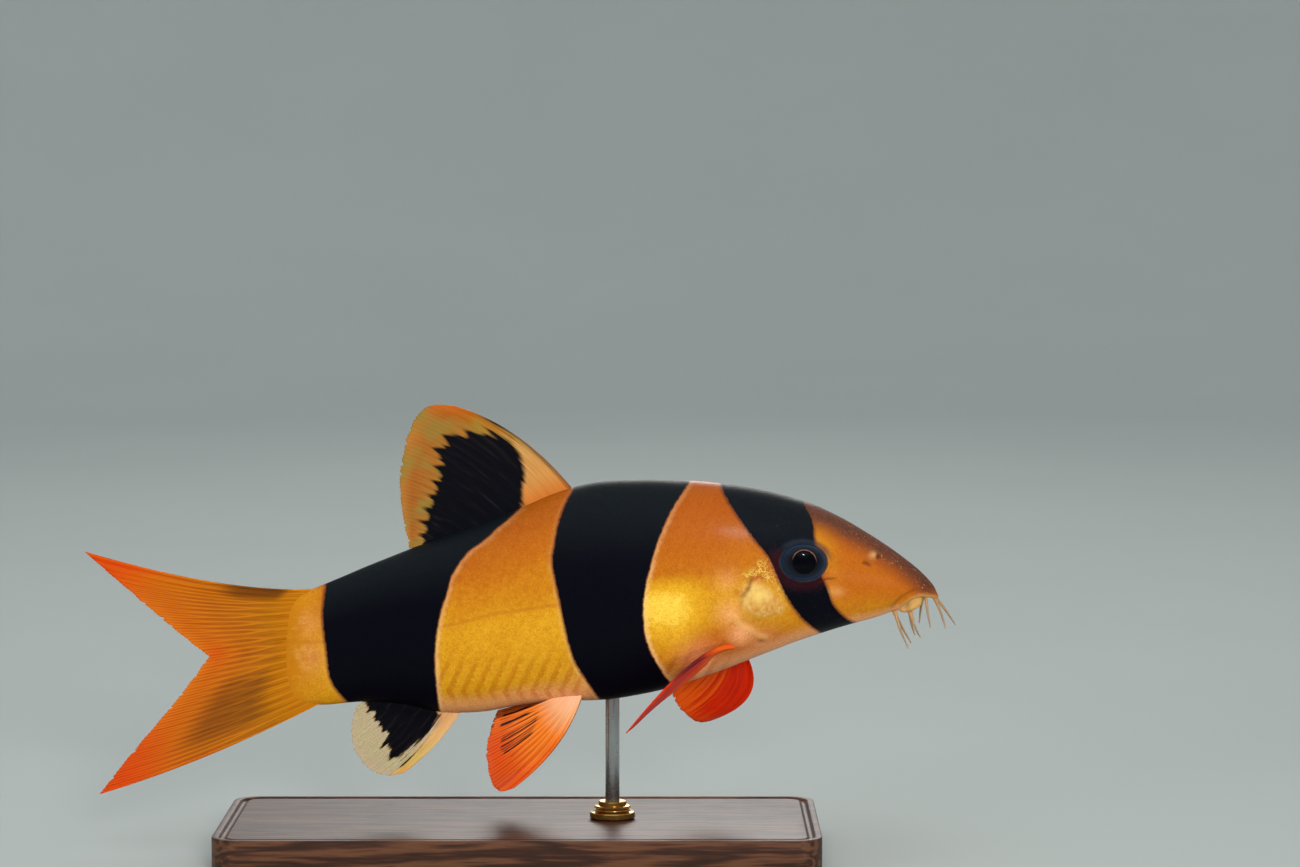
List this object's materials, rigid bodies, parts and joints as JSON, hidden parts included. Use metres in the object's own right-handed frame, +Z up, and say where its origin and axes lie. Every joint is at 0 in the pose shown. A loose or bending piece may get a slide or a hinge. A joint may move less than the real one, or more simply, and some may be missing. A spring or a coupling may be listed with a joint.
{
  "type": "clown loach",
  "caption": "Life-size still model of a young clown loach with three dark bands, orange fins and mouth barbels, held swimming on a rod over a flat wooden display base.",
  "frame": {"origin": "middle of the underside of the display base, on the floor under the middle of the fish's length", "axes": "+X along the fish towards its snout, +Y towards its left side, +Z up"},
  "size_m": [0.1229, 0.04, 0.0635],
  "materials": {
    "skin": "wet-looking smooth skin, golden orange with three wide blue-black bands",
    "eye": "polished black eye with a thin copper ring round the pupil",
    "fin": "thin ribbed membrane, orange to red, with black patches",
    "barbel": "soft pale pinkish feeler",
    "stand_wood": "dark oiled wood, satin",
    "stand_brass": "turned and brushed",
    "stand_steel": "polished rod"
  },
  "bodies": {
    "root": {"anal_fin": "fin", "barbel_chin_left": "barbel", "barbel_chin_right": "barbel", "barbel_mouth_corner_left": "barbel", "barbel_mouth_corner_right": "barbel", "barbel_snout_inner_left": "barbel", "barbel_snout_inner_right": "barbel", "barbel_snout_outer_left": "barbel", "barbel_snout_outer_right": "barbel", "caudal_fin_lower": "fin", "caudal_fin_upper": "fin", "dorsal_fin": "fin", "eye_left": "eye", "eye_right": "eye", "head": "skin", "pectoral_fin_left": "fin", "pectoral_fin_right": "fin", "pelvic_fin_left": "fin", "pelvic_fin_right": "fin", "stand_base": "stand_wood", "stand_collar": "stand_brass", "stand_rod": "stand_steel", "tail_stem": "skin", "trunk": "skin"}
  },
  "joints": []
}
